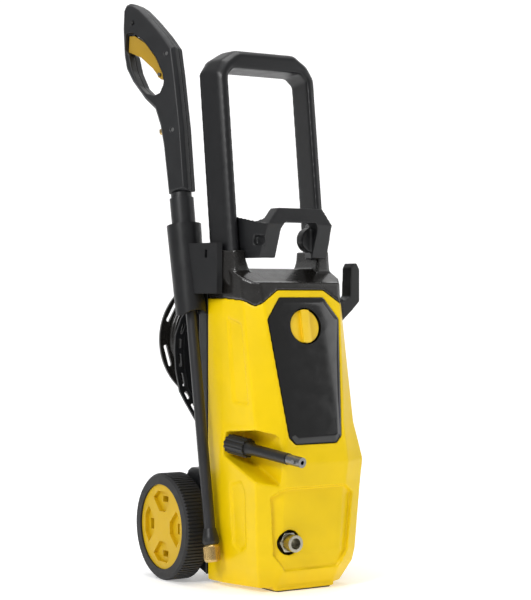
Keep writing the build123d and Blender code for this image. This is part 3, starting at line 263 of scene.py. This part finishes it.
def hose_route():
    """Centreline from the barrel out: layers of side-by-side turns, then down into the fitting."""
    axis_x, axis_z = REEL_AXIS
    grow = 1 / math.cos(math.pi / TURN_POINTS)
    stations = [(k - LEAD, FIRST_LAYER_R - LEAD_DEPTH * (1 - k / LEAD), WINDING_LOW_Y) for k in range(LEAD)]
    count, radius, y = 0, FIRST_LAYER_R, WINDING_LOW_Y
    for layer, (turns, way) in enumerate(LAYERS):
        steps = int(turns * TURN_POINTS)
        for k in range(steps + 1):
            stations.append((count + k, radius, y + way * HOSE_PITCH * k / TURN_POINTS))
        count += steps
        y += way * HOSE_PITCH * turns
        if layer < len(LAYERS) - 1:
            for k in range(1, CLIMB):
                stations.append((count + k, radius + HOSE_PITCH * k / CLIMB, y))
            count += CLIMB
            radius += HOSE_PITCH
    last = count
    route = []
    for step, r, along in stations:
        angle = 2 * math.pi * (last - step) / TURN_POINTS
        route.append((axis_x + r * grow * math.cos(angle), along, axis_z + r * grow * math.sin(angle)))
    fitting_low, fitting_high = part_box("hose_fitting_gun")
    end_x = (fitting_low.x + fitting_high.x) / 2
    end_y = (fitting_low.y + fitting_high.y) / 2
    route += [(end_x - 0.0018, (y + end_y) / 2, axis_z - 0.015),
              (end_x, end_y, axis_z - 0.028),
              (end_x, end_y, fitting_high.z - 0.004),
              (end_x, end_y, fitting_high.z - 0.010)]
    return route


def hose():
    """The hose as one cord, wound on the drum and let down into its fitting."""
    route = hose_route()
    data = bpy.data.curves.new("hose", "CURVE")
    data.dimensions = "3D"
    data.bevel_depth = HOSE_D / 2
    data.bevel_resolution = 4
    data.resolution_u = 4
    line = data.splines.new("NURBS")
    line.points.add(len(route) - 1)
    for point, place in zip(line.points, route):
        point.co = (*place, 1)
    line.order_u = 3
    line.use_endpoint_u = True
    obj = bpy.data.objects.new("hose", data)
    SCENE.collection.objects.link(obj)
    data.materials.append(MATERIALS["hose_gloss"])
    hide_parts("hose_coil")
    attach(obj, "reel")


hose()

# ------------------------------------------------------------------ floor, backdrop, light
FLOOR_NEAR = -4.0
FLOOR_HALF_WIDTH = 6
BEND_START = 2.2            # where the floor begins to curve up
BEND_R = 0.8
BEND_STEPS = 10
WALL_TOP = 4.0


def studio():
    """Pale floor that curves up into the backdrop."""
    mesh = bpy.data.meshes.new("backdrop")
    profile = [(FLOOR_NEAR, 0), (BEND_START, 0)]
    for step in range(1, BEND_STEPS + 1):
        angle = math.radians(90 * step / BEND_STEPS)
        profile.append((BEND_START + BEND_R * math.sin(angle), BEND_R - BEND_R * math.cos(angle)))
    profile.append((BEND_START + BEND_R, WALL_TOP))
    verts = [(x, y, z) for x in (-FLOOR_HALF_WIDTH, FLOOR_HALF_WIDTH) for y, z in profile]
    count = len(profile)
    faces = [(k, k + 1, count + k + 1, count + k) for k in range(count - 1)]
    mesh.from_pydata(verts, [], faces)
    backdrop = bpy.data.objects.new("backdrop", mesh)
    SCENE.collection.objects.link(backdrop)
    backdrop.rotation_euler = (0, 0, math.radians(-33.5))
    made, tree, shader = new_material("studio_paper", (0.93, 0.93, 0.93), 0.75, specular=0.2)
    place = tree.nodes.new("ShaderNodeTexCoord").outputs["Object"]
    tree.links.new(mix(tree, noise(tree, place, 3, 2), (0.92, 0.92, 0.92), (0.94, 0.94, 0.94)),
                   shader.inputs["Base Color"])
    shader.inputs["Emission Color"].default_value = (1, 1, 1, 1)
    shader.inputs["Emission Strength"].default_value = 0.30
    mesh.materials.append(made)
    for polygon in mesh.polygons:
        polygon.use_smooth = True


def lamp(name, place, target, size, power, colour=(1, 1, 1)):
    """A rectangular area light that looks at a point."""
    data = bpy.data.lights.new(name, "AREA")
    data.shape = "RECTANGLE"
    data.size, data.size_y = size
    data.energy = power
    data.color = colour
    obj = bpy.data.objects.new(name, data)
    SCENE.collection.objects.link(obj)
    obj.location = place
    obj.rotation_mode = "QUATERNION"
    obj.rotation_quaternion = (Vector(target) - Vector(place)).to_track_quat("-Z", "Y")


studio()
lamp("key", (-2.4, -0.9, 2.0), (0, 0, 0.35), (0.9, 0.9), 42)
lamp("fill", (2.2, -1.6, 1.2), (0, 0, 0.4), (1.4, 1.4), 12)
lamp("top", (0, 0.1, 2.6), (0, 0, 0), (1.6, 1.6), 30)
world = bpy.data.worlds.new("world")
SCENE.world = world
world.use_nodes = True
world.node_tree.nodes["Background"].inputs["Color"].default_value = (1, 1, 1, 1)
world.node_tree.nodes["Background"].inputs["Strength"].default_value = 0.36
SCENE.view_settings.view_transform = "Standard"
